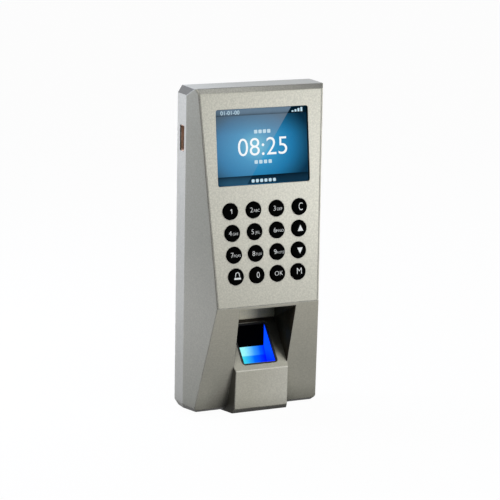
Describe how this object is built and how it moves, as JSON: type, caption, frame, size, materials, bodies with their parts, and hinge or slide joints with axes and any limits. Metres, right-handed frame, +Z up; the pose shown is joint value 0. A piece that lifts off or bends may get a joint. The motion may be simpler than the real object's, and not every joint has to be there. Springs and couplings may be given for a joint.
{
  "type": "fingerprint scanner terminal",
  "caption": "Wall-mounted fingerprint access terminal: faceted metallic shell, colour display, round push keys, recessed lit finger window on a sloped pedestal.",
  "frame": {"origin": "middle of the wall plate's rear face, where the terminal meets the wall", "axes": "+Z up along the longest side, front faces -Y, +Y points into the wall, +X to the viewer's right"},
  "size_m": [0.0864, 0.0357, 0.1913],
  "materials": {
    "housing_paint": "fine metallic satin",
    "panel_paint": "fine metallic satin",
    "screen_glass": "clear gloss",
    "display_cell": "gloss",
    "key_black": "gloss with white legends",
    "rubber_black": "matt",
    "prism_glass": "clear, lit from below",
    "light_guide": "frosted",
    "board_green": "satin",
    "steel": "satin",
    "connector_white": "satin",
    "plastic_black": "satin",
    "flat_cable": "satin"
  },
  "bodies": {
    "terminal": {"front_housing": "housing_paint", "front_panel": "panel_paint", "screen_window": "screen_glass", "lcd_glass": "display_cell", "lcd_frame": "steel", "lcd_flex": "flat_cable", "keypad_mat": "rubber_black", "dome_sheet": "steel", "keypad_pcb": "board_green", "platen_gasket": "rubber_black", "scanner_prism": "prism_glass", "scanner_light_guide": "light_guide", "scanner_led_board": "board_green", "scanner_lens": "plastic_black", "scanner_sensor_board": "board_green", "scanner_carrier": "plastic_black", "scanner_ribbon": "flat_cable", "main_pcb": "board_green", "usb_socket": "steel", "usb_tongue": "connector_white", "processor_shield": "steel", "power_connector": "connector_white", "lock_connector": "connector_white", "network_connector": "connector_white", "battery_holder": "plastic_black", "coin_cell": "steel", "speaker": "plastic_black", "tamper_switch": "plastic_black", "rear_cover": "plastic_black", "cable_grommet": "rubber_black", "wall_plate": "steel", "security_screw": "steel", "cover_screw_1": "steel", "board_screw_1": "steel", "cover_screw_2": "steel", "board_screw_2": "steel", "cover_screw_3": "steel", "board_screw_3": "steel", "cover_screw_4": "steel", "board_screw_4": "steel"},
    "key_1": {"key_1": "key_black"},
    "key_2": {"key_2": "key_black"},
    "key_3": {"key_3": "key_black"},
    "key_clear": {"key_clear": "key_black"},
    "key_4": {"key_4": "key_black"},
    "key_5": {"key_5": "key_black"},
    "key_6": {"key_6": "key_black"},
    "key_up": {"key_up": "key_black"},
    "key_7": {"key_7": "key_black"},
    "key_8": {"key_8": "key_black"},
    "key_9": {"key_9": "key_black"},
    "key_down": {"key_down": "key_black"},
    "key_bell": {"key_bell": "key_black"},
    "key_0": {"key_0": "key_black"},
    "key_ok": {"key_ok": "key_black"},
    "key_menu": {"key_menu": "key_black"},
    "tamper_plunger": {"tamper_plunger": "connector_white"}
  },
  "joints": [
    {"name": "key_1_press", "type": "slide", "parent": "terminal", "child": "key_1", "axis": [0, 0.9925, -0.1222], "range_m": [0, 0.0008], "stiffness_N_per_m": 400},
    {"name": "key_2_press", "type": "slide", "parent": "terminal", "child": "key_2", "axis": [0, 0.9925, -0.1222], "range_m": [0, 0.0008], "stiffness_N_per_m": 400},
    {"name": "key_3_press", "type": "slide", "parent": "terminal", "child": "key_3", "axis": [0, 0.9925, -0.1222], "range_m": [0, 0.0008], "stiffness_N_per_m": 400},
    {"name": "key_clear_press", "type": "slide", "parent": "terminal", "child": "key_clear", "axis": [0, 0.9925, -0.1222], "range_m": [0, 0.0008], "stiffness_N_per_m": 400},
    {"name": "key_4_press", "type": "slide", "parent": "terminal", "child": "key_4", "axis": [0, 0.9925, -0.1222], "range_m": [0, 0.0008], "stiffness_N_per_m": 400},
    {"name": "key_5_press", "type": "slide", "parent": "terminal", "child": "key_5", "axis": [0, 0.9925, -0.1222], "range_m": [0, 0.0008], "stiffness_N_per_m": 400},
    {"name": "key_6_press", "type": "slide", "parent": "terminal", "child": "key_6", "axis": [0, 0.9925, -0.1222], "range_m": [0, 0.0008], "stiffness_N_per_m": 400},
    {"name": "key_up_press", "type": "slide", "parent": "terminal", "child": "key_up", "axis": [0, 0.9925, -0.1222], "range_m": [0, 0.0008], "stiffness_N_per_m": 400},
    {"name": "key_7_press", "type": "slide", "parent": "terminal", "child": "key_7", "axis": [0, 0.9925, -0.1222], "range_m": [0, 0.0008], "stiffness_N_per_m": 400},
    {"name": "key_8_press", "type": "slide", "parent": "terminal", "child": "key_8", "axis": [0, 0.9925, -0.1222], "range_m": [0, 0.0008], "stiffness_N_per_m": 400},
    {"name": "key_9_press", "type": "slide", "parent": "terminal", "child": "key_9", "axis": [0, 0.9925, -0.1222], "range_m": [0, 0.0008], "stiffness_N_per_m": 400},
    {"name": "key_down_press", "type": "slide", "parent": "terminal", "child": "key_down", "axis": [0, 0.9925, -0.1222], "range_m": [0, 0.0008], "stiffness_N_per_m": 400},
    {"name": "key_bell_press", "type": "slide", "parent": "terminal", "child": "key_bell", "axis": [0, 0.9925, -0.1222], "range_m": [0, 0.0008], "stiffness_N_per_m": 400},
    {"name": "key_0_press", "type": "slide", "parent": "terminal", "child": "key_0", "axis": [0, 0.9925, -0.1222], "range_m": [0, 0.0008], "stiffness_N_per_m": 400},
    {"name": "key_ok_press", "type": "slide", "parent": "terminal", "child": "key_ok", "axis": [0, 0.9925, -0.1222], "range_m": [0, 0.0008], "stiffness_N_per_m": 400},
    {"name": "key_menu_press", "type": "slide", "parent": "terminal", "child": "key_menu", "axis": [0, 0.9925, -0.1222], "range_m": [0, 0.0008], "stiffness_N_per_m": 400},
    {"name": "tamper_plunger_slide", "type": "slide", "parent": "terminal", "child": "tamper_plunger", "axis": [0, -1, 0], "range_m": [0, 0.0012], "stiffness_N_per_m": 150}
  ]
}
